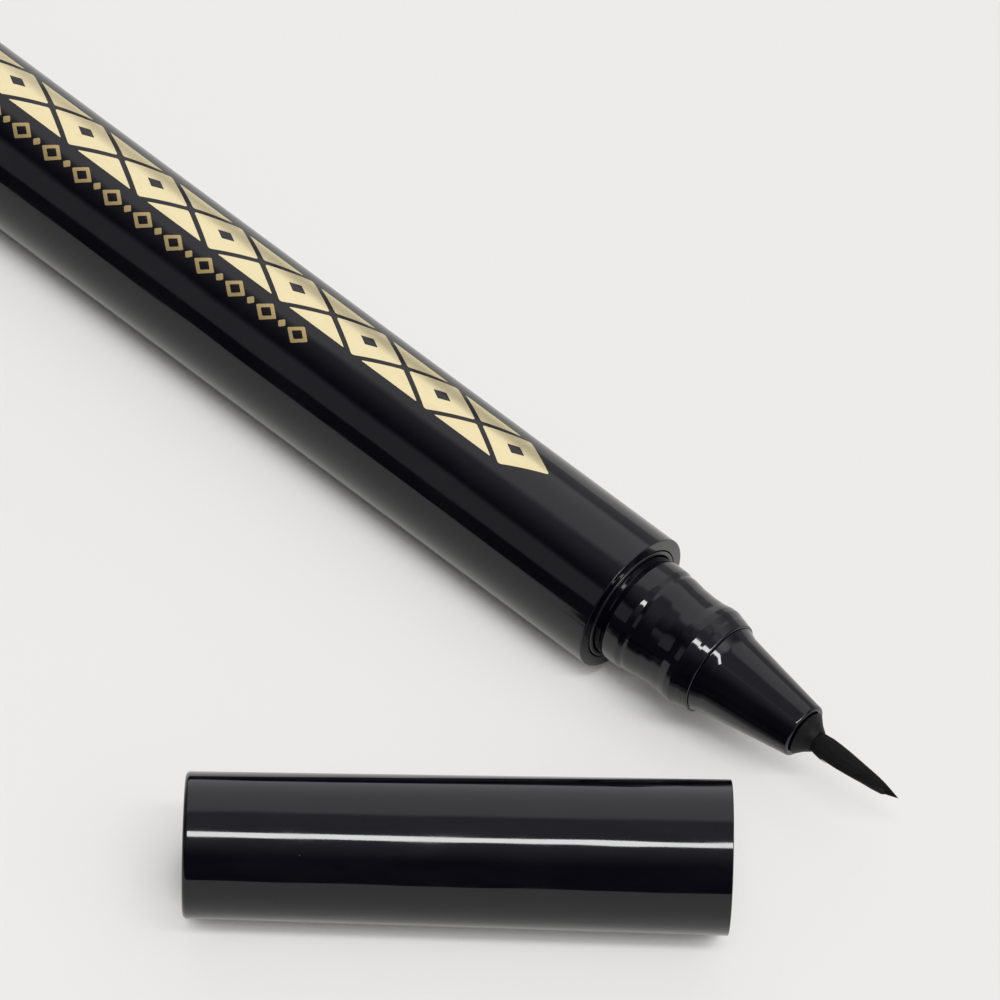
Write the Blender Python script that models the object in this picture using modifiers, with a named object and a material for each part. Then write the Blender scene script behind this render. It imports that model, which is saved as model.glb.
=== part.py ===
# Liquid eyeliner pen lying on a table, brush bare, with its cap beside it.
#
# Every turned piece is drawn in its own axis frame. On the pen, z runs forward from the centre of the
# barrel's front rim to the brush. In the cap, z runs from the centre of the closed end to the mouth.
# Both frames have +X pointing down at the table. Metres throughout, +Z up in the world.

import math
import random

import bmesh
import bpy
from mathutils import Matrix, Vector

# Places on the table, from the origin under the middle of the pair
RIM_PLACE = Vector((0.03034, -0.02201))
CAP_PLACE = Vector((0.00042, -0.04302))
PEN_YAW = math.radians(-41.45)

# Clearances
FIT_GAP = 0.0001
OVERRUN = 0.002
MERGE_DISTANCE = 0.000001

# Barrel
BARREL_LENGTH = 0.0988
BARREL_MOUTH_RADIUS = 0.00525
BARREL_DRAFT = 0.00034
BARREL_TAIL_RADIUS = BARREL_MOUTH_RADIUS + BARREL_DRAFT
BARREL_WALL = 0.00085
BARREL_BORE_RADIUS = BARREL_MOUTH_RADIUS - BARREL_WALL
RIM_ROUNDING = 0.0004
RIM_INNER_BREAK = 0.0001

# Ink tank and its stopper
TAIL_ROOM = 0.0088
TANK_REAR = TAIL_ROOM - BARREL_LENGTH
TANK_WALL = 0.0006
LIP_PROUD = 0.00015
LIP_WALL = 0.0002
LIP_DEPTH = 0.0016
PLUG_DEPTH = 0.006
PLUG_WALL = 0.0008
PLUG_FLANGE = 0.0008
PLUG_TIP_BREAK = 0.0003
RIB_HEIGHT = 0.00006
RIB_WIDTH = 0.0007

# Tail plug
TAIL_FLANGE = 0.0012
TAIL_ROUNDING = 0.0004
TAIL_WALL = 0.0009

# Mixing ball
BALL_RADIUS = 0.002
BALL_PLACE = -0.021

# Neck, from the rear end of its plug to its front face
NECK_REAR = -0.016
SHOULDER_REAR = -0.001
SHOULDER_GAP = 0.00014
SHOULDER_RADIUS = BARREL_BORE_RADIUS - FIT_GAP - LIP_WALL - SHOULDER_GAP
BEAD_START = 0.0007
BEAD_END = 0.0020
BEAD_HEIGHT = 0.00009
BEAD_RADIUS = SHOULDER_RADIUS + BEAD_HEIGHT
BEAD_TOP_SHARES = (0.3, 0.7)
GROOVE_PLACE = 0.00234
GROOVE_WIDTH = 0.00030
GROOVE_DEPTH = 0.00012
WAIST_PLACE = 0.0049
WAIST_DEPTH = 0.00024
WAIST_RADIUS = SHOULDER_RADIUS - WAIST_DEPTH
WAIST_REAR_SHARE = 0.35
WAIST_FRONT_SHARE = 0.25
BAND_START = 0.0064
BAND_EDGE = 0.0068
BAND_STEP = 0.00009
BAND_RADIUS = SHOULDER_RADIUS - BAND_STEP
BAND_TAPER = 0.00038
NECK_FRONT = 0.0082
NECK_FRONT_RADIUS = BAND_RADIUS - BAND_TAPER
NECK_FRONT_ROUNDING = 0.00008
COLLECTOR_STOP = 0.0046
NECK_PLUG_RADIUS = BARREL_BORE_RADIUS - FIT_GAP - TANK_WALL - FIT_GAP
NECK_WALL = 0.0007
CHAMBER_RADIUS = NECK_PLUG_RADIUS - NECK_WALL
COLLECTOR_STEP = 0.0002
SPIGOT_BORE_RADIUS = CHAMBER_RADIUS - COLLECTOR_STEP
GASKET_THICKNESS = 0.0004

# Collector
FIN_COUNT = 10
FIN_SHARE = 0.45
COLLECTOR_REAR = -0.0150
COLLECTOR_FLANGE = 0.0010
CORE_RADIUS = 0.0015
FEED_BORE_RADIUS = 0.00075
VENT_WIDTH = 0.0004

# Feed rod
FEED_REAR = -0.019
FEED_SHOULDER = 0.0096
FEED_POINT_START = 0.0107
FEED_FRONT = 0.0124
FEED_TIP_RADIUS = 0.00025
FEED_BREAK = 0.0002

# Ferrule
FERRULE_STEM_RADIUS = 0.00125
FLARE_RADIUS = 0.00176
FLARE_LENGTH = 0.00101
# How far the flare's curve has gone out to its radius and back to its seat, from the lip
FLARE_SHARES = ((0.10, 0.35), (0.36, 0.70), (1.0, 0.93))
FERRULE_LIP_RADIUS = 0.00080
ROOT_STOP = 0.0117
ROOT_BORE_RADIUS = 0.00105

# Nose cone
CONE_FRONT = 0.01584
CONE_STEP = 0.00034
CONE_REAR_RADIUS = NECK_FRONT_RADIUS - CONE_STEP
CONE_LEDGE = 0.00022
CONE_FRONT_RADIUS = FLARE_RADIUS + CONE_LEDGE
CONE_FRONT_ROUNDING = 0.0002
CONE_CROWN = 0.00004
SPIGOT_LENGTH = 0.0034
SPIGOT_BREAK = 0.0002
FERRULE_SEAT = 0.0094
SEAL_PLACE = 0.0063
SEAL_WIRE_RADIUS = 0.00024
SEAL_GROOVE_DEPTH = 0.0005
SEAL_SIDES = 6

# Brush
BUNDLE_RADIUS = 0.00066
BUNDLE_GAP = 0.00005
BRISTLE_START = 0.0167
BACKING_THICKNESS = 0.0003
BACKING_PROUD = 0.00002
BRISTLE_FOOT = BRISTLE_START - BACKING_THICKNESS / 2
BRUSH_KNEE = 0.0197
BRUSH_TIP = 0.0238
KNEE_SPREAD = 1.08
TIP_SPREAD = 0.13
TIP_LEAN = Vector((-0.00007, 0.00010))
BRISTLE_RINGS = 10
BRISTLE_WIDTH = 0.000056
BRISTLE_SIDES = 3
SHORT_BRISTLE_SHARE = 0.78
LENGTH_SPREAD_SHARE = 0.05
BRISTLE_SEED = 7
ROOT_FLANGE_RADIUS = 0.00095
ROOT_FLANGE = 0.0007
ROOT_SOCKET_RADIUS = 0.00035
ROOT_SOCKET_DEPTH = 0.0018

# Cap
CAP_LENGTH = 0.03656
CAP_MOUTH_RADIUS = BARREL_MOUTH_RADIUS
CAP_DRAFT = 0.00031
CAP_END_RADIUS = CAP_MOUTH_RADIUS - CAP_DRAFT
CAP_END_ROUNDING = 0.0006
CAP_END_WALL = 0.0012
CAP_WALL = 0.0009
CAP_BORE_RADIUS = CAP_MOUTH_RADIUS - CAP_WALL
GUIDE_STEP = 0.00035
CAP_GUIDE_RADIUS = CAP_BORE_RADIUS - GUIDE_STEP
CAP_GUIDE_DEPTH = 0.0099
CAP_LEAD_IN = 0.0002
CAP_MOUTH_BREAK = 0.00005
SNAP_RISE = 0.0004
SNAP_WIDTH = 0.0003
SNAP_REACH = 0.00009
BOSS_RADIUS = 0.0018
BOSS_HEIGHT = 0.0010

# Pieces in the cap; depths run inwards from its mouth
RETAINER_DEPTH = 0.0055
RETAINER_WIDTH = 0.0008
RETAINER_WALL = 0.00028
INNER_CAP_DEPTH = 0.0064
INNER_CAP_END_DEPTH = 0.0265
INNER_CAP_WALL = 0.00055
INNER_CAP_FLANGE = 0.0015
INNER_CAP_FLANGE_RADIUS = CAP_BORE_RADIUS - FIT_GAP
SEAL_SEAT_WALL = 0.0003
SEAL_SEAT_RADIUS = INNER_CAP_FLANGE_RADIUS - SEAL_SEAT_WALL
LIP_SEAL_THICKNESS = 0.0010
LIP_SEAL_WIDTH = 0.00045
LIP_SEAL_RADIUS = SEAL_SEAT_RADIUS - LIP_SEAL_WIDTH
LIP_SEAL_RECESS = 0.0001
SPRING_TURNS = 5
SPRING_TURN_POINTS = 8
SPRING_RADIUS = 0.0023
SPRING_WIRE_RADIUS = 0.0002

# Facets round a turned piece
LARGE_STEPS = 32
SMALL_STEPS = 24
FINE_STEPS = 16
ARC_STEPS = 3

BLACK = (0.012, 0.012, 0.014)
SOFT_BLACK = (0.02, 0.02, 0.02)
MILKY = (0.75, 0.76, 0.76)
STEEL = (0.6, 0.6, 0.62)


def clear_scene():
    for item in list(bpy.data.objects):
        bpy.data.objects.remove(item)


def new_collection(name):
    group = bpy.data.collections.new(name)
    bpy.context.scene.collection.children.link(group)
    return group


def finish(name, colour, roughness, metallic=0.0):
    """A Principled material of one colour."""
    material = bpy.data.materials.new(name)
    material.use_nodes = True
    shader = material.node_tree.nodes["Principled BSDF"]
    shader.inputs["Base Color"].default_value = (*colour, 1.0)
    shader.inputs["Roughness"].default_value = roughness
    shader.inputs["Metallic"].default_value = metallic
    material.diffuse_color = (*colour, 1.0)
    return material


def arc(radius, height, rounding, start, end):
    """Points of a quarter round about (radius, height), angles in degrees from straight out."""
    angles = [math.radians(start + (end - start) * k / ARC_STEPS) for k in range(ARC_STEPS + 1)]
    return [(radius + rounding * math.cos(a), height + rounding * math.sin(a)) for a in angles]


def between(start, end, share):
    return start + (end - start) * share


def halfway(start, end):
    return (start + end) / 2


class Kit:
    """Where pieces go: their collection and the empty that carries them."""

    def __init__(self, parts, helpers, axis):
        self.parts = parts
        self.helpers = helpers
        self.axis = axis

    def add(self, name, data, material):
        piece = bpy.data.objects.new(name, data)
        data.materials.append(material)
        piece.parent = self.axis
        self.parts.objects.link(piece)
        return piece

    def turned(self, name, outline, steps, material, ring=False):
        """A piece turned about the axis from (radius, z) points that run down its outer side.
        A ring's outline closes on itself, and any other starts and ends on the axis."""
        mesh = bpy.data.meshes.new(name)
        last = len(outline) - 1
        edges = [(k, k + 1) for k in range(last)]
        if ring:
            edges.append((last, 0))
        mesh.from_pydata([(radius, 0, z) for radius, z in outline], edges, [])
        piece = self.add(name, mesh, material)
        screw = piece.modifiers.new("Turn", "SCREW")
        screw.steps = steps
        screw.render_steps = steps
        screw.use_merge_vertices = True
        screw.merge_threshold = MERGE_DISTANCE
        screw.use_smooth_shade = True
        return piece

    def move_in(self, piece, collection):
        for group in list(piece.users_collection):
            group.objects.unlink(piece)
        collection.objects.link(piece)

    def as_helper(self, piece):
        """Keeps a cutter or a joined copy out of the model."""
        piece.hide_render = True
        piece.display_type = "WIRE"
        self.move_in(piece, self.helpers)

    def boolean(self, piece, other, operation):
        change = piece.modifiers.new(operation.title(), "BOOLEAN")
        change.operation = operation
        change.solver = "EXACT"
        change.object = other


def lying_axis(name, place, lean, yaw, height, parts):
    """An empty whose +Z lies along a turned body that rests on its side, with +X pointing down."""
    axis = bpy.data.objects.new(name, None)
    axis.empty_display_size = BARREL_MOUTH_RADIUS
    axis.location = (place.x, place.y, height)
    axis.rotation_euler = (0, math.pi / 2 + lean, yaw)
    parts.objects.link(axis)
    return axis


def barrel(kit, gloss):
    """The outer tube. Its outside widens to the tail by the draft of its mould."""
    outline = [(BARREL_BORE_RADIUS + RIM_INNER_BREAK, 0)]
    outline += arc(BARREL_MOUTH_RADIUS - RIM_ROUNDING, -RIM_ROUNDING, RIM_ROUNDING, 90, 0)
    outline += [
        (BARREL_TAIL_RADIUS, -BARREL_LENGTH),
        (BARREL_BORE_RADIUS, -BARREL_LENGTH),
        (BARREL_BORE_RADIUS, -RIM_INNER_BREAK),
    ]
    kit.turned("barrel", outline, LARGE_STEPS, gloss, ring=True)


def ink_tank(kit, plastic):
    """The inner tube, with a thin lip round the neck's shoulder."""
    outer = BARREL_BORE_RADIUS - FIT_GAP
    outline = [
        (outer - LIP_WALL, LIP_PROUD),
        (outer, LIP_PROUD),
        (outer, TANK_REAR),
        (outer - TANK_WALL, TANK_REAR),
        (outer - TANK_WALL, -LIP_DEPTH),
        (outer - LIP_WALL, -LIP_DEPTH),
    ]
    kit.turned("ink_tank", outline, LARGE_STEPS, plastic, ring=True)


def ribbed_side(radius, front, rear, count):
    """Points down a plug's side, with evenly spaced sealing ribs."""
    points = []
    for k in range(count):
        middle = between(front, rear, (k + 1) / (count + 1))
        points += [
            (radius, middle + RIB_WIDTH / 2),
            (radius + RIB_HEIGHT, middle),
            (radius, middle - RIB_WIDTH / 2),
        ]
    return points


def tank_plug(kit, plastic):
    """The stopper in the tank's rear, hollow from behind."""
    tank_outer = BARREL_BORE_RADIUS - FIT_GAP
    stem = tank_outer - TANK_WALL - FIT_GAP
    front = TANK_REAR + PLUG_DEPTH
    rear = TANK_REAR - FIT_GAP - PLUG_FLANGE
    outline = [(0, front), (stem - PLUG_TIP_BREAK, front), (stem, front - PLUG_TIP_BREAK)]
    outline += ribbed_side(stem, front, TANK_REAR, 2)
    outline += [
        (stem, TANK_REAR - FIT_GAP),
        (tank_outer, TANK_REAR - FIT_GAP),
        (tank_outer, rear),
        (stem - PLUG_WALL, rear),
        (stem - PLUG_WALL, front - PLUG_WALL),
        (0, front - PLUG_WALL),
    ]
    kit.turned("tank_plug", outline, SMALL_STEPS, plastic)


def tail_plug(kit, gloss):
    """The plug that closes the barrel, hollow from the front, its stem against the tank's stopper."""
    stem = BARREL_BORE_RADIUS - FIT_GAP - RIB_HEIGHT
    front = TANK_REAR - FIT_GAP - PLUG_FLANGE - FIT_GAP
    seat = -BARREL_LENGTH - FIT_GAP
    rear = seat - TAIL_FLANGE
    floor = rear + TAIL_FLANGE
    outline = [(0, floor), (stem - TAIL_WALL, floor), (stem - TAIL_WALL, front), (stem, front)]
    outline += ribbed_side(stem, front, seat, 2)
    outline += [(stem, seat), (BARREL_TAIL_RADIUS, seat)]
    outline += arc(BARREL_TAIL_RADIUS - TAIL_ROUNDING, rear + TAIL_ROUNDING, TAIL_ROUNDING, 0, -90)
    outline += [(0, rear)]
    kit.turned("tail_plug", outline, LARGE_STEPS, gloss)


def mixing_ball(kit, steel):
    """The loose ball, on the lowest line of the tank's bore."""
    bore = BARREL_BORE_RADIUS - FIT_GAP - TANK_WALL
    mesh = bpy.data.meshes.new("mixing_ball")
    shape = bmesh.new()
    bmesh.ops.create_uvsphere(shape, u_segments=FINE_STEPS, v_segments=FINE_STEPS // 2, radius=BALL_RADIUS)
    shape.to_mesh(mesh)
    shape.free()
    mesh.shade_smooth()
    ball = kit.add("mixing_ball", mesh, steel)
    ball.location = (bore - FIT_GAP - BALL_RADIUS, 0, BALL_PLACE)


def neck_section(kit, gloss):
    """The neck: a plug in the tank, a shoulder, a snap bead and groove, a waist and an end band."""
    groove = SHOULDER_RADIUS - GROOVE_DEPTH
    rounding = NECK_FRONT_ROUNDING
    bead_low, bead_high = (between(BEAD_START, BEAD_END, share) for share in BEAD_TOP_SHARES)
    outline = [(SPIGOT_BORE_RADIUS, NECK_FRONT)]
    outline += arc(NECK_FRONT_RADIUS - rounding, NECK_FRONT - rounding, rounding, 90, 0)
    outline += [
        (BAND_RADIUS, BAND_EDGE),
        (BAND_RADIUS, BAND_START),
        (between(WAIST_RADIUS, BAND_RADIUS, WAIST_FRONT_SHARE), halfway(WAIST_PLACE, BAND_START)),
        (WAIST_RADIUS, WAIST_PLACE),
        (between(WAIST_RADIUS, SHOULDER_RADIUS, WAIST_REAR_SHARE), halfway(WAIST_PLACE, GROOVE_PLACE)),
        (SHOULDER_RADIUS, GROOVE_PLACE + GROOVE_WIDTH),
        (groove, GROOVE_PLACE),
        (SHOULDER_RADIUS, GROOVE_PLACE - GROOVE_WIDTH / 2),
        (BEAD_RADIUS, bead_high),
        (BEAD_RADIUS, bead_low),
        (SHOULDER_RADIUS, BEAD_START),
        (SHOULDER_RADIUS, SHOULDER_REAR),
        (NECK_PLUG_RADIUS, SHOULDER_REAR),
        (NECK_PLUG_RADIUS, NECK_REAR),
        (CHAMBER_RADIUS, NECK_REAR),
        (CHAMBER_RADIUS, COLLECTOR_STOP),
        (SPIGOT_BORE_RADIUS, COLLECTOR_STOP),
    ]
    kit.turned("neck_section", outline, LARGE_STEPS, gloss, ring=True)


def neck_gasket(kit, rubber):
    """The flat seal between the neck's shoulder and the step in the tank."""
    front = SHOULDER_REAR - FIT_GAP
    inner = NECK_PLUG_RADIUS + FIT_GAP
    outline = [
        (inner, front),
        (SHOULDER_RADIUS, front),
        (SHOULDER_RADIUS, front - GASKET_THICKNESS),
        (inner, front - GASKET_THICKNESS),
    ]
    kit.turned("neck_gasket", outline, SMALL_STEPS, rubber, ring=True)


def ink_collector(kit, plastic):
    """The comb: thin fins on a hollow core, with one vent slot along its top."""
    fin = CHAMBER_RADIUS - FIT_GAP
    front = COLLECTOR_STOP - FIT_GAP
    pitch = (front - COLLECTOR_FLANGE - COLLECTOR_REAR) / FIN_COUNT
    outline = [(FEED_BORE_RADIUS, front), (fin, front), (fin, front - COLLECTOR_FLANGE)]
    for k in range(FIN_COUNT):
        start = front - COLLECTOR_FLANGE - pitch * (k + 1) + pitch * FIN_SHARE
        outline += [
            (CORE_RADIUS, start + pitch * (1 - FIN_SHARE)),
            (CORE_RADIUS, start),
            (fin, start),
            (fin, start - pitch * FIN_SHARE),
        ]
    outline += [(FEED_BORE_RADIUS, COLLECTOR_REAR)]
    comb = kit.turned("ink_collector", outline, FINE_STEPS, plastic, ring=True)

    mesh = bpy.data.meshes.new("vent_cutter")
    shape = bmesh.new()
    bmesh.ops.create_cube(shape, size=1)
    length = front - COLLECTOR_REAR - COLLECTOR_FLANGE
    bmesh.ops.scale(shape, vec=(fin, VENT_WIDTH, length + OVERRUN), verts=shape.verts)
    shape.to_mesh(mesh)
    shape.free()
    cutter = kit.add("vent_cutter", mesh, plastic)
    cutter.location = (-CORE_RADIUS - FIT_GAP - fin / 2, 0, COLLECTOR_REAR + (length - OVERRUN) / 2)
    kit.as_helper(cutter)
    kit.boolean(comb, cutter, "DIFFERENCE")


def feed_rod(kit, fibre):
    """The fibre rod through the collector, pointed where it enters the brush's root."""
    radius = FEED_BORE_RADIUS - FIT_GAP
    outline = [
        (0, FEED_FRONT),
        (FEED_TIP_RADIUS, FEED_FRONT),
        (FEED_TIP_RADIUS, FEED_POINT_START),
        (radius, FEED_SHOULDER),
        (radius, FEED_REAR + FEED_BREAK),
        (radius - FEED_BREAK, FEED_REAR),
        (0, FEED_REAR),
    ]
    kit.turned("feed_rod", outline, FINE_STEPS, fibre)


def nose_cone(kit, gloss):
    """The cone in front of the neck, with a spigot in the neck and a stepped bore for the ferrule."""
    rear = NECK_FRONT + FIT_GAP
    spigot = SPIGOT_BORE_RADIUS - FIT_GAP
    spigot_rear = rear - SPIGOT_LENGTH
    half_groove = SEAL_WIRE_RADIUS + FIT_GAP / 2
    rounding_place = CONE_FRONT - CONE_FRONT_ROUNDING
    outline = [(FERRULE_STEM_RADIUS + FIT_GAP, CONE_FRONT)]
    outline += arc(CONE_FRONT_RADIUS - CONE_FRONT_ROUNDING, rounding_place, CONE_FRONT_ROUNDING, 90, 0)
    outline += [
        (halfway(CONE_FRONT_RADIUS, CONE_REAR_RADIUS) + CONE_CROWN, halfway(rounding_place, rear)),
        (CONE_REAR_RADIUS, rear),
        (spigot, rear),
        (spigot, SEAL_PLACE + half_groove),
        (spigot - SEAL_GROOVE_DEPTH, SEAL_PLACE + half_groove),
        (spigot - SEAL_GROOVE_DEPTH, SEAL_PLACE - half_groove),
        (spigot, SEAL_PLACE - half_groove),
        (spigot, spigot_rear + SPIGOT_BREAK),
        (spigot - SPIGOT_BREAK, spigot_rear),
        (FEED_BORE_RADIUS, spigot_rear),
        (FEED_BORE_RADIUS, FERRULE_SEAT),
        (FERRULE_STEM_RADIUS + FIT_GAP, FERRULE_SEAT),
    ]
    kit.turned("nose_cone", outline, LARGE_STEPS, gloss, ring=True)


def nose_o_ring(kit, rubber):
    """The round seal in the groove of the cone's spigot."""
    outer = SPIGOT_BORE_RADIUS - FIT_GAP / 2
    middle = outer - SEAL_WIRE_RADIUS
    outline = []
    for k in range(SEAL_SIDES):
        turn = math.pi / 2 - math.tau * k / SEAL_SIDES
        out, along = SEAL_WIRE_RADIUS * math.cos(turn), SEAL_WIRE_RADIUS * math.sin(turn)
        outline.append((middle + out, SEAL_PLACE + along))
    kit.turned("nose_o_ring", outline, SMALL_STEPS, rubber, ring=True)


def nib_ferrule(kit, matt):
    """The flared collar at the cone's end. Its stem sits in the cone and holds the brush's root."""
    seat = CONE_FRONT + FIT_GAP
    front = seat + FLARE_LENGTH
    bore = BUNDLE_RADIUS + BUNDLE_GAP
    outline = [(bore, front), (FERRULE_LIP_RADIUS, front)]
    for out_share, back_share in FLARE_SHARES:
        radius = between(FERRULE_LIP_RADIUS, FLARE_RADIUS, out_share)
        outline.append((radius, between(front, seat, back_share)))
    outline += [
        (FLARE_RADIUS, seat),
        (FERRULE_STEM_RADIUS, seat),
        (FERRULE_STEM_RADIUS, FERRULE_SEAT + FIT_GAP),
        (ROOT_BORE_RADIUS, FERRULE_SEAT + FIT_GAP),
        (ROOT_BORE_RADIUS, ROOT_STOP),
        (bore, ROOT_STOP),
    ]
    kit.turned("nib_ferrule", outline, SMALL_STEPS, matt, ring=True)


def brush_root(kit, matt):
    """The bonded end of the bristles, held behind the ferrule's step by its flange."""
    front = BRISTLE_START - BACKING_THICKNESS - FIT_GAP
    flange_front = ROOT_STOP - FIT_GAP
    rear = flange_front - ROOT_FLANGE
    outline = [
        (0, front),
        (BUNDLE_RADIUS, front),
        (BUNDLE_RADIUS, flange_front),
        (ROOT_FLANGE_RADIUS, flange_front),
        (ROOT_FLANGE_RADIUS, rear),
        (ROOT_SOCKET_RADIUS, rear),
        (ROOT_SOCKET_RADIUS, rear + ROOT_SOCKET_DEPTH),
        (0, rear + ROOT_SOCKET_DEPTH),
    ]
    kit.turned("brush_root", outline, FINE_STEPS, matt)


def bristle_places():
    """Places of the bristles in a bundle of radius 1, in rings of six more each, and the ring's share."""
    places = [(Vector((0, 0)), 0)]
    for ring in range(1, BRISTLE_RINGS + 1):
        for k in range(6 * ring):
            turn = math.tau * k / (6 * ring)
            radius = ring / BRISTLE_RINGS
            places.append((Vector((math.cos(turn), math.sin(turn))) * radius, radius))
    return places


def brush_section(z):
    """How wide the bundle is at z, as a share of its foot, and how far it leans there."""
    if z < BRUSH_KNEE:
        share = (z - BRISTLE_FOOT) / (BRUSH_KNEE - BRISTLE_FOOT)
        return between(1, KNEE_SPREAD, share), Vector((0, 0))
    share = (z - BRUSH_KNEE) / (BRUSH_TIP - BRUSH_KNEE)
    return between(KNEE_SPREAD, TIP_SPREAD, share), TIP_LEAN * share


def bristle(shape, place, stations):
    """One bristle through the bundle's sections at the stations, as a closed prism."""
    radius = BRISTLE_WIDTH / 2
    side = bmesh.ops.create_circle(shape, cap_ends=True, segments=BRISTLE_SIDES, radius=radius)["verts"]
    face = side[0].link_faces[0]
    spread = 1
    here = Vector((0, 0, 0))
    for k, z in enumerate(stations):
        wide, lean = brush_section(z)
        centre = (place * wide + lean).to_3d() + Vector((0, 0, z))
        if k:
            grown = bmesh.ops.extrude_face_region(shape, geom=[face])["geom"]
            if k > 1:
                bmesh.ops.delete(shape, geom=[face], context="FACES_ONLY")
            side = [item for item in grown if isinstance(item, bmesh.types.BMVert)]
            face = next(item for item in grown if isinstance(item, bmesh.types.BMFace))
        narrowing = (wide / spread, wide / spread, 1)
        bmesh.ops.scale(shape, vec=narrowing, space=Matrix.Translation(-here), verts=side)
        bmesh.ops.translate(shape, vec=centre - here, verts=side)
        spread = wide
        here = centre


def brush_tip(kit, matt):
    """The bristles on a slice of their backing. All pass through the same sections of the bundle,
    so none crosses another, and the outer ones are shorter."""
    chance = random.Random(BRISTLE_SEED)
    reach = BUNDLE_RADIUS - BRISTLE_WIDTH / 2
    mesh = bpy.data.meshes.new("bristles")
    shape = bmesh.new()
    for place, radius_share in bristle_places():
        length_share = between(1, SHORT_BRISTLE_SHARE, radius_share**2)
        length_share -= LENGTH_SPREAD_SHARE * chance.random() * radius_share
        end = between(BRISTLE_START, BRUSH_TIP, length_share)
        stations = [BRISTLE_FOOT, end] if end < BRUSH_KNEE else [BRISTLE_FOOT, BRUSH_KNEE, end]
        bristle(shape, place * reach, stations)
    bmesh.ops.recalc_face_normals(shape, faces=shape.faces)
    shape.to_mesh(mesh)
    shape.free()
    bristles = kit.add("bristles", mesh, matt)
    kit.as_helper(bristles)

    rear = BRISTLE_START - BACKING_THICKNESS
    side = BUNDLE_RADIUS + BACKING_PROUD
    outline = [(0, BRISTLE_START), (side, BRISTLE_START), (side, rear), (0, rear)]
    backing = kit.turned("brush_tip", outline, FINE_STEPS, matt)
    kit.boolean(backing, bristles, "UNION")
    print(len(bristle_places()), "bristles")


def cap_shell(kit, gloss):
    """The outer cap, thicker where it guides the inner cap, with a snap rib near its mouth."""
    snap_place = CAP_LENGTH - GROOVE_PLACE
    snap_radius = SHOULDER_RADIUS - GROOVE_DEPTH + SNAP_REACH
    guide_end = CAP_LENGTH - CAP_GUIDE_DEPTH
    outline = [
        (0, CAP_END_WALL + BOSS_HEIGHT),
        (BOSS_RADIUS, CAP_END_WALL + BOSS_HEIGHT),
        (BOSS_RADIUS, CAP_END_WALL),
        (CAP_GUIDE_RADIUS, CAP_END_WALL),
        (CAP_GUIDE_RADIUS, guide_end),
        (CAP_BORE_RADIUS, guide_end),
        (CAP_BORE_RADIUS, snap_place - SNAP_WIDTH / 2 - SNAP_RISE),
        (snap_radius, snap_place - SNAP_WIDTH / 2),
        (snap_radius, snap_place + SNAP_WIDTH / 2),
        (CAP_BORE_RADIUS, snap_place + SNAP_WIDTH / 2 + SNAP_RISE),
        (CAP_BORE_RADIUS, CAP_LENGTH - CAP_LEAD_IN),
        (CAP_BORE_RADIUS + CAP_LEAD_IN, CAP_LENGTH),
        (CAP_MOUTH_RADIUS - CAP_MOUTH_BREAK, CAP_LENGTH),
        (CAP_MOUTH_RADIUS, CAP_LENGTH - CAP_MOUTH_BREAK),
    ]
    outline += arc(CAP_END_RADIUS - CAP_END_ROUNDING, CAP_END_ROUNDING, CAP_END_ROUNDING, 0, -90)
    outline += [(0, 0)]
    kit.turned("cap_shell", outline, LARGE_STEPS, gloss)


def cap_retainer(kit, plastic):
    """The ring pressed in the cap in front of the inner cap's flange."""
    outer = CAP_BORE_RADIUS - FIT_GAP
    front = CAP_LENGTH - RETAINER_DEPTH
    rear = front - RETAINER_WIDTH
    outline = [(outer - RETAINER_WALL, front), (outer, front), (outer, rear), (outer - RETAINER_WALL, rear)]
    kit.turned("cap_retainer", outline, SMALL_STEPS, plastic, ring=True)


def inner_cap_body_radius():
    return CAP_GUIDE_RADIUS - FIT_GAP


def inner_cap(kit, plastic):
    """The sliding cup that shuts over the cone and the brush."""
    body = inner_cap_body_radius()
    bore = body - INNER_CAP_WALL
    front = CAP_LENGTH - INNER_CAP_DEPTH
    rear = CAP_LENGTH - INNER_CAP_END_DEPTH
    seat = front - LIP_SEAL_RECESS - LIP_SEAL_THICKNESS - FIT_GAP
    outline = [
        (0, rear + INNER_CAP_WALL),
        (bore, rear + INNER_CAP_WALL),
        (bore, seat),
        (SEAL_SEAT_RADIUS, seat),
        (SEAL_SEAT_RADIUS, front),
        (INNER_CAP_FLANGE_RADIUS, front),
        (INNER_CAP_FLANGE_RADIUS, front - INNER_CAP_FLANGE),
        (body, front - INNER_CAP_FLANGE),
        (body, rear + PLUG_TIP_BREAK),
        (body - PLUG_TIP_BREAK, rear),
        (0, rear),
    ]
    kit.turned("inner_cap", outline, SMALL_STEPS, plastic)


def inner_cap_seal(kit, rubber):
    """The soft ring that meets the taper of the neck's end band."""
    outer = SEAL_SEAT_RADIUS - FIT_GAP
    front = CAP_LENGTH - INNER_CAP_DEPTH - LIP_SEAL_RECESS
    rear = front - LIP_SEAL_THICKNESS
    outline = [(LIP_SEAL_RADIUS, front), (outer, front), (outer, rear), (LIP_SEAL_RADIUS, rear)]
    kit.turned("inner_cap_seal", outline, SMALL_STEPS, rubber, ring=True)


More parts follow.
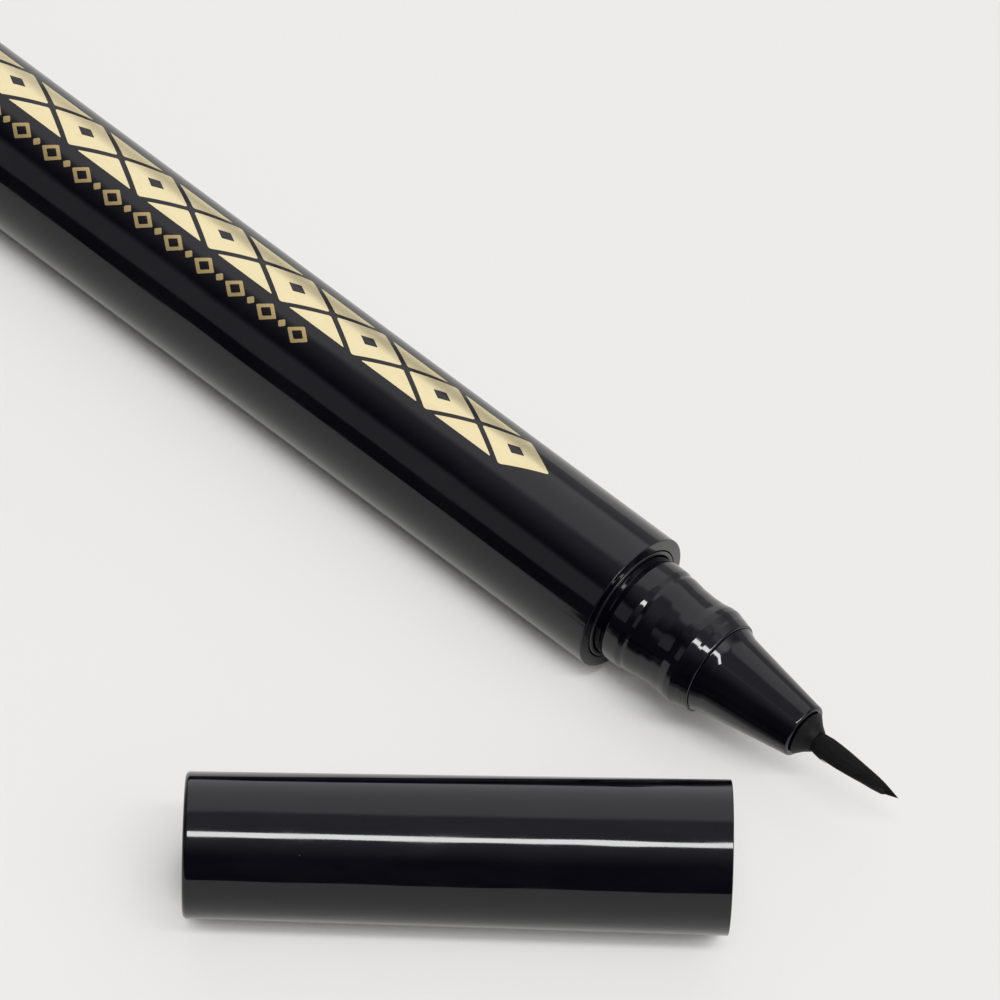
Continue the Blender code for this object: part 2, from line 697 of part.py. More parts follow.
def cap_spring(kit, steel):
    """An open wire spring from the cap's end wall to the inner cap."""
    start = CAP_END_WALL + FIT_GAP + SPRING_WIRE_RADIUS
    end = CAP_LENGTH - INNER_CAP_END_DEPTH - FIT_GAP - SPRING_WIRE_RADIUS
    count = SPRING_TURNS * SPRING_TURN_POINTS
    points = []
    for k in range(count + 1):
        turn = math.tau * k / SPRING_TURN_POINTS
        height = between(start, end, k / count)
        points.append((SPRING_RADIUS * math.cos(turn), SPRING_RADIUS * math.sin(turn), height))
    curve = bpy.data.curves.new("cap_spring", "CURVE")
    curve.dimensions = "3D"
    curve.bevel_depth = SPRING_WIRE_RADIUS
    curve.bevel_resolution = 1
    curve.use_fill_caps = True
    wire = curve.splines.new("POLY")
    wire.points.add(count)
    for point, place in zip(wire.points, points):
        point.co = (*place, 1)
    kit.add("cap_spring", curve, steel)
    gap = (end - start) / SPRING_TURNS - 2 * SPRING_WIRE_RADIUS
    print(f"cap_spring least gap between turns {gap * 1000:.2f} mm")


def build():
    clear_scene()
    parts = new_collection("eyeliner_pen")
    helpers = new_collection("helpers")

    gloss = finish("gloss_black", BLACK, 0.12)
    matt = finish("matt_black", SOFT_BLACK, 0.7)
    milky = finish("milky_plastic", MILKY, 0.4)
    dark_inner = finish("inner_black", BLACK, 0.3)
    rubber = finish("soft_seal", SOFT_BLACK, 0.8)
    fibre = finish("fibre", (0.8, 0.78, 0.72), 0.9)
    steel = finish("steel", STEEL, 0.25, 1.0)

    pen_lean = math.atan((BARREL_TAIL_RADIUS - BARREL_MOUTH_RADIUS) / (BARREL_LENGTH - RIM_ROUNDING))
    rim_height = (BARREL_MOUTH_RADIUS - RIM_ROUNDING * math.tan(pen_lean)) * math.cos(pen_lean)
    pen_axis = lying_axis("pen_axis", RIM_PLACE, pen_lean, PEN_YAW, rim_height, parts)
    pen = Kit(parts, helpers, pen_axis)
    barrel(pen, gloss)
    ink_tank(pen, dark_inner)
    tank_plug(pen, milky)
    tail_plug(pen, gloss)
    mixing_ball(pen, steel)
    neck_section(pen, gloss)
    neck_gasket(pen, rubber)
    ink_collector(pen, milky)
    feed_rod(pen, fibre)
    nose_cone(pen, gloss)
    nose_o_ring(pen, rubber)
    nib_ferrule(pen, matt)
    brush_root(pen, matt)
    brush_tip(pen, matt)

    cap_rise = math.atan((CAP_MOUTH_RADIUS - CAP_END_RADIUS) / (CAP_LENGTH - CAP_END_ROUNDING))
    end_height = (CAP_END_RADIUS - CAP_END_ROUNDING * math.tan(cap_rise)) * math.cos(cap_rise)
    cap_axis = lying_axis("cap_axis", CAP_PLACE, -cap_rise, 0, end_height, parts)
    cap = Kit(parts, helpers, cap_axis)
    cap_shell(cap, gloss)
    cap_retainer(cap, dark_inner)
    inner_cap(cap, milky)
    inner_cap_seal(cap, rubber)
    cap_spring(cap, steel)


build()
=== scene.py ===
import math
import random

import bpy
from mathutils import Matrix, Vector


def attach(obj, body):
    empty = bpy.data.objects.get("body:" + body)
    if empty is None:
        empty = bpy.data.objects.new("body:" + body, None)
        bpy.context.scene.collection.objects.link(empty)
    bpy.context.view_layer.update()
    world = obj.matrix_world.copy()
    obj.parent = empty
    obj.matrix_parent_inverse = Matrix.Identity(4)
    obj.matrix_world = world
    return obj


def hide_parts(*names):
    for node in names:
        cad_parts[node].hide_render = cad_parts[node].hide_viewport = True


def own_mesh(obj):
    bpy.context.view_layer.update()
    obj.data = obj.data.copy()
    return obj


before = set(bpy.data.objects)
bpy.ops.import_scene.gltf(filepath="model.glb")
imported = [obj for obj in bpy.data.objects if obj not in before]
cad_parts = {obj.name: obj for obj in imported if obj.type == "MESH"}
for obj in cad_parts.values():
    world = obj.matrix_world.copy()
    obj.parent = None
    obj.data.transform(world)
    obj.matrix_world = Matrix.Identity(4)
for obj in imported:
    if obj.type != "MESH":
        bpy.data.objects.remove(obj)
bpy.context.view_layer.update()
print("frame loaded,", len(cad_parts), "nodes")

mm = 0.001

# Where the two turned bodies lie: a point on each axis, and how it turns and tips
lying = {
    "penRim": (30.34, -22.01),  # middle of the barrel's front rim, mm
    "penTurn": -41.45,          # degrees from +X
    "penRadii": (5.25, 5.59),   # front and tail of the barrel, mm
    "penRun": 98.4,             # between those two, mm
    "penRounding": 0.4,
    "capEnd": (0.42, -43.02),   # middle of the cap's closed end, mm
    "capRadii": (5.25, 4.94),   # mouth and closed end, mm
    "capRun": 35.96,
    "capRounding": 0.6,
}


def lyingMatrix(place, turn, tip, height):
    spot = Matrix.Translation(Vector((place[0], place[1], height)) * mm)
    return spot @ Matrix.Rotation(math.radians(turn), 4, "Z") @ Matrix.Rotation(math.pi / 2 + tip, 4, "Y")


penTip = math.atan((lying["penRadii"][1] - lying["penRadii"][0]) / lying["penRun"])
capTip = math.atan((lying["capRadii"][1] - lying["capRadii"][0]) / lying["capRun"])
penHeight = (lying["penRadii"][0] - lying["penRounding"] * math.tan(penTip)) * math.cos(penTip)
capHeight = (lying["capRadii"][1] + lying["capRounding"] * math.tan(capTip)) * math.cos(capTip)
penFrame = lyingMatrix(lying["penRim"], lying["penTurn"], penTip, penHeight)
capFrame = lyingMatrix(lying["capEnd"], 0, capTip, capHeight)


# Camera, as the photograph was taken
cameraSetting = {
    "place": (0.01110, -0.28869, 0.36544),
    "right": (0.999314, 0.009803, 0.035726),
    "up": (-0.029475, 0.794605, 0.606410),
    "lens": 234.0,         # mm
    "sensor": 36,          # mm
    "clip": (0.01, 20),    # m
}

bpy.ops.object.camera_add(location=cameraSetting["place"])
camera = bpy.context.object
camera.name = "tableCamera"
sideways, upwards = Vector(cameraSetting["right"]), Vector(cameraSetting["up"])
camera.rotation_euler = Matrix((sideways, upwards, sideways.cross(upwards))).transposed().to_euler()
camera.data.lens = cameraSetting["lens"]
camera.data.sensor_width = cameraSetting["sensor"]
camera.data.clip_start, camera.data.clip_end = cameraSetting["clip"]
bpy.context.scene.camera = camera
print("camera placed")


# A shader value that adds, subtracts and multiplies like a number
class Signal:
    def __init__(self, paint, socket):
        self.paint = paint
        self.socket = socket

    def maths(self, operation, first, second):
        return self.paint.node("ShaderNodeMath", {"operation": operation}, {0: first, 1: second})

    def __add__(self, other):
        return self.maths("ADD", self, other)

    def __radd__(self, other):
        return self.maths("ADD", other, self)

    def __sub__(self, other):
        return self.maths("SUBTRACT", self, other)

    def __rsub__(self, other):
        return self.maths("SUBTRACT", other, self)

    def __mul__(self, other):
        return self.maths("MULTIPLY", self, other)

    def __rmul__(self, other):
        return self.maths("MULTIPLY", other, self)


# The nodes of one material, or of the world
class Paint:
    def __init__(self, owner):
        owner.use_nodes = True
        self.owner = owner
        self.tree = owner.node_tree

    def node(self, kind, settings, values, output=0):
        made = self.tree.nodes.new(kind)
        for key, value in settings.items():
            setattr(made, key, value)
        for key, value in values.items():
            self.plug(made.inputs[key], value)
        return Signal(self, made.outputs[output])

    def plug(self, socket, value):
        if isinstance(value, Signal):
            self.tree.links.new(value.socket, socket)
        else:
            socket.default_value = value

    def along(self, matrix):  # object coordinates in a turned body's own frame, in mm
        inverse = matrix.inverted()
        values = {
            "Vector": self.node("ShaderNodeTexCoord", {}, {}, "Object"),
            "Location": inverse.to_translation() / mm,
            "Rotation": inverse.to_euler(),
            "Scale": (1 / mm, 1 / mm, 1 / mm),
        }
        return self.node("ShaderNodeMapping", {"vector_type": "POINT"}, values)

    def stretch(self, vector, scale):
        return self.node("ShaderNodeMapping", {"vector_type": "POINT"}, {"Vector": vector, "Scale": scale})

    def noise(self, vector, scale, detail, roughness):
        values = {"Vector": vector, "Scale": scale, "Detail": detail, "Roughness": roughness}
        return self.node("ShaderNodeTexNoise", {}, values, "Fac")

    def step(self, value, low, high):  # smooth rise from 0 at low to 1 at high
        values = {"Value": value, "From Min": low, "From Max": high}
        return self.node("ShaderNodeMapRange", {"interpolation_type": "SMOOTHSTEP"}, values)

    def mix(self, factor, first, second):
        return self.node("ShaderNodeMix", {"data_type": "RGBA"}, {0: factor, 6: first, 7: second}, 2)

    def bump(self, height, distance, strength=1.0):
        values = {"Height": height, "Distance": distance, "Strength": strength}
        return self.node("ShaderNodeBump", {}, values)

    def coat(self, values):  # numbers stay on the shader's own sockets, signals are linked
        shader = self.tree.nodes["Principled BSDF"]
        for key, value in values.items():
            self.plug(shader.inputs[key], value)
        return self.owner


def newPaint(name):
    return Paint(bpy.data.materials.new(name))


# Polished black moulding: slow waves from the mould, faint haze, fine dust
glossSetting = {
    "black": (0.0021, 0.0018, 0.0042, 1),
    "haze": (0.0038, 0.0034, 0.0060, 1),
    "dust": (0.16, 0.155, 0.15, 1),
    "roughness": (0.06, 0.11),      # clean, hazy
    "refraction": 1.45,
    "waveHeight": 0.022,            # mm
    "neckWave": 0.45,               # the neck's waves, against the barrel's
    "hazeNoise": (0.45, 4.0, 0.6),  # a noise is (clouds per mm, detail, roughness)
    "hazeStretch": (1, 1, 0.35),    # longer along the body
    "hazeEdges": (0.42, 0.72),
    "waveNoise": (0.55, 1.0, 0.4),
    "waveStretch": (1, 1, 0.22),
    "rippleNoise": (3.0, 2.0, 0.5),
    "rippleShare": 0.02,
    "dustPerMm": 0.55,
    "dustPick": (0.80, 0.84),       # of chances from 0 to 1, where specks start and where they are full
    "dustSize": (0.012, 0.022),     # from a speck's middle to where it starts to fade and where it ends
    "dustCover": 0.8,
    "dustRough": 0.5,
    "dustHeight": 2.0,
}


def polishedBlack(name, matrix, wave=1.0):
    paint = newPaint(name)
    place = paint.along(matrix)
    cloud = paint.noise(paint.stretch(place, glossSetting["hazeStretch"]), *glossSetting["hazeNoise"])
    haze = paint.step(cloud, *glossSetting["hazeEdges"])
    cell = {"Vector": place, "Scale": glossSetting["dustPerMm"], "Randomness": 1.0}
    spot = paint.node("ShaderNodeTexVoronoi", {"feature": "F1"}, cell, "Distance")
    pick = paint.node("ShaderNodeTexVoronoi", {"feature": "F1"}, cell, "Color")
    chance = paint.node("ShaderNodeSeparateColor", {}, {"Color": pick}, 0)
    dust = paint.step(chance, *glossSetting["dustPick"]) * (1 - paint.step(spot, *glossSetting["dustSize"]))
    colour = paint.mix(haze, glossSetting["black"], glossSetting["haze"])
    slow = paint.noise(paint.stretch(place, glossSetting["waveStretch"]), *glossSetting["waveNoise"])
    ripple = paint.noise(place, *glossSetting["rippleNoise"]) * glossSetting["rippleShare"]
    height = slow * wave + ripple + dust * glossSetting["dustHeight"]
    clean, hazy = glossSetting["roughness"]
    return paint.coat({
        "IOR": glossSetting["refraction"],
        "Base Color": paint.mix(dust * glossSetting["dustCover"], colour, glossSetting["dust"]),
        "Roughness": haze * (hazy - clean) + clean + dust * glossSetting["dustRough"],
        "Normal": paint.bump(height, glossSetting["waveHeight"] * mm),
    })


# Soft matt black of the ferrule, with a fine eroded grain
mattSetting = {
    "black": (0.0026, 0.0025, 0.0029, 1),
    "worn": (0.0075, 0.0072, 0.0078, 1),
    "roughness": 0.42,
    "refraction": 1.46,
    "specular": 0.22,
    "grainNoise": (16.0, 3.0, 0.6),
    "grainRough": 0.1,
    "grainHeight": 0.012,           # mm
    "grainBump": 0.6,
    "wornNoise": (1.3, 3.0, 0.6),
    "wornEdges": (0.35, 0.7),
    "wornShare": 0.6,
    "wornRough": 0.12,
}


def mattBlack(name, matrix):
    paint = newPaint(name)
    place = paint.along(matrix)
    grain = paint.noise(place, *mattSetting["grainNoise"])
    worn = paint.step(paint.noise(place, *mattSetting["wornNoise"]), *mattSetting["wornEdges"])
    rough = worn * mattSetting["wornRough"] + grain * mattSetting["grainRough"] + mattSetting["roughness"]
    return paint.coat({
        "IOR": mattSetting["refraction"],
        "Specular IOR Level": mattSetting["specular"],
        "Base Color": paint.mix(worn * mattSetting["wornShare"], mattSetting["black"], mattSetting["worn"]),
        "Roughness": rough,
        "Normal": paint.bump(grain, mattSetting["grainHeight"] * mm, mattSetting["grainBump"]),
    })


# Bristles: soot black, with streaks that run along them
bristleSetting = {
    "dark": (0.0030, 0.0030, 0.0030, 1),
    "light": (0.0105, 0.0105, 0.0100, 1),
    "roughness": 0.5,
    "refraction": 1.5,
    "specular": 0.25,
    "streakNoise": (9.0, 3.0, 0.6),
    "streakStretch": (1, 1, 0.06),
    "streakEdges": (0.3, 0.75),
    "streakRough": 0.2,
    "streakHeight": 0.006,          # mm
    "streakBump": 0.5,
}


def bristleBlack():
    paint = newPaint("bristleBlack")
    place = paint.stretch(paint.along(penFrame), bristleSetting["streakStretch"])
    streak = paint.step(paint.noise(place, *bristleSetting["streakNoise"]), *bristleSetting["streakEdges"])
    return paint.coat({
        "IOR": bristleSetting["refraction"],
        "Specular IOR Level": bristleSetting["specular"],
        "Base Color": paint.mix(streak, bristleSetting["dark"], bristleSetting["light"]),
        "Roughness": streak * bristleSetting["streakRough"] + bristleSetting["roughness"],
        "Normal": paint.bump(streak, bristleSetting["streakHeight"] * mm, bristleSetting["streakBump"]),
    })


# Hot-stamped foil: gold metal with a slightly uneven lay and a fine grain
foilSetting = {
    "frieze": {"gold": (0.81, 0.71, 0.43, 1), "deep": (0.72, 0.585, 0.31, 1), "roughness": 0.16},
    "fineRow": {"gold": (0.62, 0.475, 0.22, 1), "deep": (0.50, 0.355, 0.14, 1), "roughness": 0.30},
    "layNoise": (1.6, 4.0, 0.6),
    "layStretch": (1, 1, 0.5),
    "layEdges": (0.45, 0.85),
    "layShare": 0.35,
    "layRough": 0.14,
    "grainNoise": (14.0, 2.0, 0.6),
    "grainRough": 0.06,
    "grainShare": 0.4,
    "height": 0.004,                # mm
    "bump": 0.25,
}


def stampedFoil(kind):
    row = foilSetting[kind]
    paint = newPaint("foil" + kind.capitalize())
    place = paint.along(penFrame)
    lay = paint.noise(paint.stretch(place, foilSetting["layStretch"]), *foilSetting["layNoise"])
    grain = paint.noise(place, *foilSetting["grainNoise"])
    deeper = paint.step(lay, *foilSetting["layEdges"]) * foilSetting["layShare"]
    height = grain * foilSetting["grainShare"] + lay
    return paint.coat({
        "Metallic": 1.0,
        "Base Color": paint.mix(deeper, row["gold"], row["deep"]),
        "Roughness": lay * foilSetting["layRough"] + grain * foilSetting["grainRough"] + row["roughness"],
        "Normal": paint.bump(height, foilSetting["height"] * mm, foilSetting["bump"]),
    })


# Plain mouldings inside: satin black, milky plastic, rubber and fibre
innerSetting = {
    "refraction": 1.5,
    "grainNoise": (3.0, 0.6),       # detail and roughness
    "grainShare": 0.4,
    "grainRough": 0.06,
    "grainHeight": 0.008,           # mm
    "grainBump": 0.5,
    "cloudNoise": (0.8, 3.0, 0.5),
    "cloudEdges": (0.3, 0.7),
    "cloudShare": 0.6,
    "cloudRough": 0.08,
    "fibreStretch": (1, 1, 0.1),
}

innerFinishes = {  # darkest and palest colour, roughness, grains per mm
    "satinBlack": ((0.006, 0.006, 0.007, 1), (0.014, 0.014, 0.015, 1), 0.24, 8.0),
    "milkyPlastic": ((0.62, 0.63, 0.62, 1), (0.74, 0.74, 0.72, 1), 0.32, 3.0),
    "sealRubber": ((0.010, 0.010, 0.010, 1), (0.022, 0.021, 0.021, 1), 0.66, 12.0),
    "bondedFibre": ((0.55, 0.52, 0.45, 1), (0.80, 0.77, 0.70, 1), 0.79, 10.0),
}


def plainMoulding(kind, name, matrix, stretch=(1, 1, 1)):
    low, high, roughness, grainPerMm = innerFinishes[kind]
    paint = newPaint(name)
    place = paint.stretch(paint.along(matrix), stretch)
    grain = paint.noise(place, grainPerMm, *innerSetting["grainNoise"])
    cloud = paint.step(paint.noise(place, *innerSetting["cloudNoise"]), *innerSetting["cloudEdges"])
    paler = cloud * innerSetting["cloudShare"] + grain * innerSetting["grainShare"]
    return paint.coat({
        "IOR": innerSetting["refraction"],
        "Base Color": paint.mix(paler, low, high),
        "Roughness": cloud * innerSetting["cloudRough"] + grain * innerSetting["grainRough"] + roughness,
        "Normal": paint.bump(grain, innerSetting["grainHeight"] * mm, innerSetting["grainBump"]),
    })


# Bright steel of the ball and the spring, scratched across
steelSetting = {
    "dark": (0.50, 0.50, 0.51, 1),
    "light": (0.66, 0.66, 0.66, 1),
    "roughness": 0.16,
    "scratchNoise": (4.0, 3.0, 0.6),
    "scratchStretch": (1, 1, 6),
    "scratchRough": 0.12,
    "scratchHeight": 0.004,         # mm
    "scratchBump": 0.5,
}


def brightSteel(name, matrix):
    paint = newPaint(name)
    place = paint.stretch(paint.along(matrix), steelSetting["scratchStretch"])
    scratch = paint.noise(place, *steelSetting["scratchNoise"])
    return paint.coat({
        "Metallic": 1.0,
        "Base Color": paint.mix(scratch, steelSetting["dark"], steelSetting["light"]),
        "Roughness": scratch * steelSetting["scratchRough"] + steelSetting["roughness"],
        "Normal": paint.bump(scratch, steelSetting["scratchHeight"] * mm, steelSetting["scratchBump"]),
    })


finishes = {
    "penGloss": polishedBlack("penGloss", penFrame),
    "neckGloss": polishedBlack("neckGloss", penFrame, glossSetting["neckWave"]),
    "capGloss": polishedBlack("capGloss", capFrame),
    "ferruleMatt": mattBlack("ferruleMatt", penFrame),
    "bristle": bristleBlack(),
    "friezeFoil": stampedFoil("frieze"),
    "fineFoil": stampedFoil("fineRow"),
    "satinPen": plainMoulding("satinBlack", "satinPen", penFrame),
    "satinCap": plainMoulding("satinBlack", "satinCap", capFrame),
    "milkyPen": plainMoulding("milkyPlastic", "milkyPen", penFrame),
    "milkyCap": plainMoulding("milkyPlastic", "milkyCap", capFrame),
    "rubberPen": plainMoulding("sealRubber", "rubberPen", penFrame),
    "rubberCap": plainMoulding("sealRubber", "rubberCap", capFrame),
    "fibre": plainMoulding("bondedFibre", "bondedFibre", penFrame, innerSetting["fibreStretch"]),
    "steelPen": brightSteel("steelPen", penFrame),
    "steelCap": brightSteel("steelCap", capFrame),
}
print("materials made,", len(finishes))


def pickOnly(*pieces):
    bpy.ops.object.select_all(action="DESELECT")
    for piece in pieces:
        piece.select_set(True)
    bpy.context.view_layer.objects.active = pieces[0]


def applyPlace(piece):
    pickOnly(piece)
    bpy.ops.object.transform_apply(location=True, rotation=True, scale=True)


def finishPiece(piece, name, finish, body, node=None):
    piece.name = name
    piece.data.name = name
    piece.data.materials.clear()
    piece.data.materials.append(finishes[finish])
    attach(piece, body)
    if node:
        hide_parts(node)


# How an outline's corners are rounded and how it is turned. A guard point just before and after each arc
# keeps the shading of long sides true.
turning = {
    "arcSteps": 5,
    "arcShare": 0.42,      # of a side, the most that an arc takes up
    "guardShare": 0.25,    # how far a guard point stands off its arc, against the arc's reach
    "guardExtra": 0.02,    # and mm besides
    "guardMost": 0.08,     # of a side, the most that it stands off
    "merge": 0.0015,       # mm
    "smoothAngle": 38,     # degrees
}


# Rounds the corners (radius, z, rounding) of an outline
def roundedOutline(corners, closed, arcSteps):
    points = []
    last = len(corners) - 1
    for k, (radius, z, rounding) in enumerate(corners):
        here = Vector((radius, z))
        if rounding == 0 or (not closed and k in (0, last)):
            points.append(here)
            continue
        before = Vector(corners[k - 1][:2]) - here
        after = Vector(corners[(k + 1) % len(corners)][:2]) - here
        half = before.angle(after) / 2
        reach = min(rounding / math.tan(half), turning["arcShare"] * min(before.length, after.length))
        size = reach * math.tan(half)
        middle = here + (before.normalized() + after.normalized()).normalized() * (size / math.sin(half))
        start = here + before.normalized() * reach
        end = here + after.normalized() * reach
        guard = turning["guardShare"] * reach + turning["guardExtra"]
        guard = min(guard, turning["guardMost"] * min(before.length, after.length))
        points.append(start + before.normalized() * guard)
        sweep = (start - middle).angle_signed(end - middle)
        for step in range(arcSteps + 1):
            turn = Matrix.Rotation(-sweep * step / arcSteps, 2)
            points.append(middle + turn @ (start - middle))
        points.append(end + after.normalized() * guard)
    return [(point.x, point.y) for point in points]


# Turns an outline about a body's axis: one point is drawn out along the outline, then spun round
def turnPiece(corners, closed, matrix, steps, arcSteps=turning["arcSteps"]):
    outline = roundedOutline(corners, closed, arcSteps)
    if closed:
        outline.append(outline[0])
    bpy.ops.object.select_all(action="DESELECT")
    bpy.ops.mesh.primitive_plane_add(size=mm, location=(0, 0, 0))
    piece = bpy.context.object
    bpy.ops.object.mode_set(mode="EDIT")
    bpy.ops.mesh.merge(type="CENTER")
    bpy.ops.transform.translate(value=Vector((outline[0][0], 0, outline[0][1])) * mm)
    for (radius, z), (nextRadius, nextZ) in zip(outline, outline[1:]):
        move = Vector((nextRadius - radius, 0, nextZ - z)) * mm
        bpy.ops.mesh.extrude_vertices_move(TRANSFORM_OT_translate={"value": move})
    bpy.ops.mesh.select_all(action="SELECT")
    bpy.ops.mesh.spin(steps=steps, angle=math.tau, center=(0, 0, 0), axis=(0, 0, 1))
    bpy.ops.mesh.select_all(action="SELECT")
    bpy.ops.mesh.remove_doubles(threshold=turning["merge"] * mm)
    bpy.ops.mesh.normals_make_consistent(inside=False)
    bpy.ops.object.mode_set(mode="OBJECT")
    piece.matrix_world = matrix
    applyPlace(piece)
    bpy.ops.object.shade_smooth_by_angle(angle=math.radians(turning["smoothAngle"]))
    return piece


# Turned pieces of the pen. Each corner is (radius, place along the axis from the rim, rounding), in mm
penTurned = {
    "barrelTube": {
        "corners": [(4.4, 0.11, 0.07), (5.25, 0.05, 0.06), (5.59, -98.8, 0.06), (4.4, -98.8, 0.06)],
        "closed": True, "steps": 160, "finish": "penGloss", "node": "barrel", "slot": "gloss_black",
    },
    "tankLining": {
        "corners": [
            (4.04, 0.17, 0.07), (4.33, 0.17, 0.07), (4.33, -90, 0.05), (3.7, -90, 0.05),
            (3.7, -1.6, 0), (4.04, -1.6, 0),
        ],
        "closed": True, "steps": 128, "finish": "satinPen", "node": "ink_tank", "slot": "inner_black",
    },
    "neckPiece": {
        "corners": [
            (2.7, 8.2, 0.03), (3.53, 8.2, 0.13), (3.70, 7.6, 0.5), (3.75, 7.36, 0.5), (3.90, 6.82, 0.3),
            (3.90, 6.38, 0.12), (3.79, 5.75, 1.6), (3.75, 4.9, 3.0), (3.80, 3.9, 2.5), (3.90, 3.2, 0.9),
            (3.945, 2.85, 0.4), (3.93, 2.55, 0.35), (4.04, 2.15, 0.5), (4.05, 1.4, 0.6),
            (4.05, 1.0, 0.3), (3.96, 0.62, 0.15), (3.96, -1.0, 0.05), (3.6, -1.0, 0),
            (3.6, -16, 0.1), (2.9, -16, 0.05), (2.9, 4.6, 0), (2.7, 4.6, 0),
        ],
        "closed": True, "steps": 144, "finish": "neckGloss", "node": "neck_section", "slot": "gloss_black",
    },
    "nosePiece": {
        "corners": [
            (1.35, 15.84, 0.03), (1.98, 15.84, 0.2), (2.605, 11.97, 14.0), (3.11, 8.95, 2.4),
            (3.38, 8.23, 0.03), (2.6, 8.23, 0), (2.6, 6.59, 0), (2.1, 6.59, 0),
            (2.1, 6.01, 0), (2.6, 6.01, 0), (2.6, 5.1, 0), (2.4, 4.9, 0),
            (0.75, 4.9, 0), (0.75, 9.4, 0), (1.35, 9.4, 0),
        ],
        "closed": True, "steps": 128, "finish": "neckGloss", "node": "nose_cone", "slot": "gloss_black",
    },
    "ferruleCollar": {
        "corners": [
            (0.71, 16.98, 0.02), (0.84, 16.98, 0.03), (1.17, 16.50, 1.5), (1.66, 16.0, 0.05),
            (1.64, 15.94, 0.02), (1.25, 15.94, 0), (1.25, 9.5, 0), (1.05, 9.5, 0), (1.05, 11.7, 0),
            (0.71, 11.7, 0),
        ],
        "closed": True, "steps": 96, "finish": "ferruleMatt", "node": "nib_ferrule", "slot": "matt_black",
    },
    "tailStopper": {  # starts and ends on the axis
        "corners": [
            (0, -98.9, 0), (3.34, -98.9, 0.1), (3.34, -91.0, 0.05), (4.24, -91.0, 0.1),
            (4.24, -98.9, 0), (5.59, -98.9, 0.06), (5.59, -100.1, 0.4), (1.15, -100.1, 0.05),
            (1.0, -99.98, 0.05), (0, -99.98, 0),
        ],
        "closed": False, "steps": 160, "finish": "penGloss", "node": "tail_plug", "slot": "gloss_black",
    },
}

for name, setting in penTurned.items():
    piece = turnPiece(setting["corners"], setting["closed"], penFrame, setting["steps"])
    finishPiece(piece, name, setting["finish"], "pen", setting["node"])
print("pen turned")

# Turned pieces of the cap, measured from its closed end
capTurned = {
    "capRetainingRing": {
        "corners": [(3.97, 31.06, 0.06), (4.25, 31.06, 0.04), (4.25, 30.26, 0.04), (3.97, 30.26, 0.04)],
        "closed": True, "steps": 96, "finish": "satinCap",
        "body": "cap", "node": "cap_retainer", "slot": "inner_black",
    },
    "innerCapSeal": {
        "corners": [(3.5, 30.06, 0.12), (3.85, 30.06, 0.05), (3.85, 29.06, 0.05), (3.5, 29.06, 0.12)],
        "closed": True, "steps": 96, "finish": "rubberCap",
        "body": "inner_cap", "node": "inner_cap_seal", "slot": "soft_seal",
    },
    "capShell": {
        "corners": [
            (0, 2.2, 0), (1.8, 2.2, 0.1), (1.8, 1.2, 0), (4.0, 1.2, 0.1), (4.0, 26.66, 0.05),
            (4.35, 26.66, 0), (4.35, 33.67, 0.2), (3.93, 34.07, 0.1), (3.93, 34.37, 0.1),
            (4.35, 34.77, 0.2), (4.35, 36.36, 0.1), (4.56, 36.56, 0.04), (5.25, 36.56, 0.07),
            (4.94, 0, 0.3), (0, 0, 0),
        ],
        "closed": False, "steps": 160, "finish": "capGloss",
        "body": "cap", "node": "cap_shell", "slot": "gloss_black",
    },
    "innerCapCup": {
        "corners": [
            (0, 10.61, 0), (3.35, 10.61, 0.4), (3.35, 28.96, 0), (3.95, 28.96, 0), (3.95, 30.16, 0.06),
            (4.25, 30.16, 0.06), (4.25, 28.66, 0.05), (3.9, 28.66, 0.05), (3.9, 10.36, 0.2),
            (3.6, 10.06, 0.1), (0, 10.06, 0),
        ],
        "closed": False, "steps": 112, "finish": "milkyCap",
        "body": "inner_cap", "node": "inner_cap", "slot": "milky_plastic",
    },
}

for name, setting in capTurned.items():
    piece = turnPiece(setting["corners"], setting["closed"], capFrame, setting["steps"])
    finishPiece(piece, name, setting["finish"], setting["body"], setting["node"])
print("cap turned")

# Packed nodes that keep their shape
keptNodes = {
    "tank_plug": "milkyPen",
    "mixing_ball": "steelPen",
    "neck_gasket": "rubberPen",
    "ink_collector": "milkyPen",
    "feed_rod": "fibre",
    "nose_o_ring": "rubberPen",
    "brush_root": "ferruleMatt",
}

for node, finish in keptNodes.items():
    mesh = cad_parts[node].data
    mesh.materials.clear()
    mesh.materials.append(finishes[finish])
print("kept nodes painted")

# Spring between the cap's end wall and the inner cap.
springSetting = {
    "wireRadius": 0.2,  # mm, as all lengths here
    "radius": 2.3,
    "start": 1.5,       # from the cap's closed end
    "end": 9.76,
    "turns": 5,
    "turnSteps": 32,
    "wireSides": 12,
    "push": 1.8,        # how far the inner cap slides
    "smoothAngle": 60,  # degrees
}


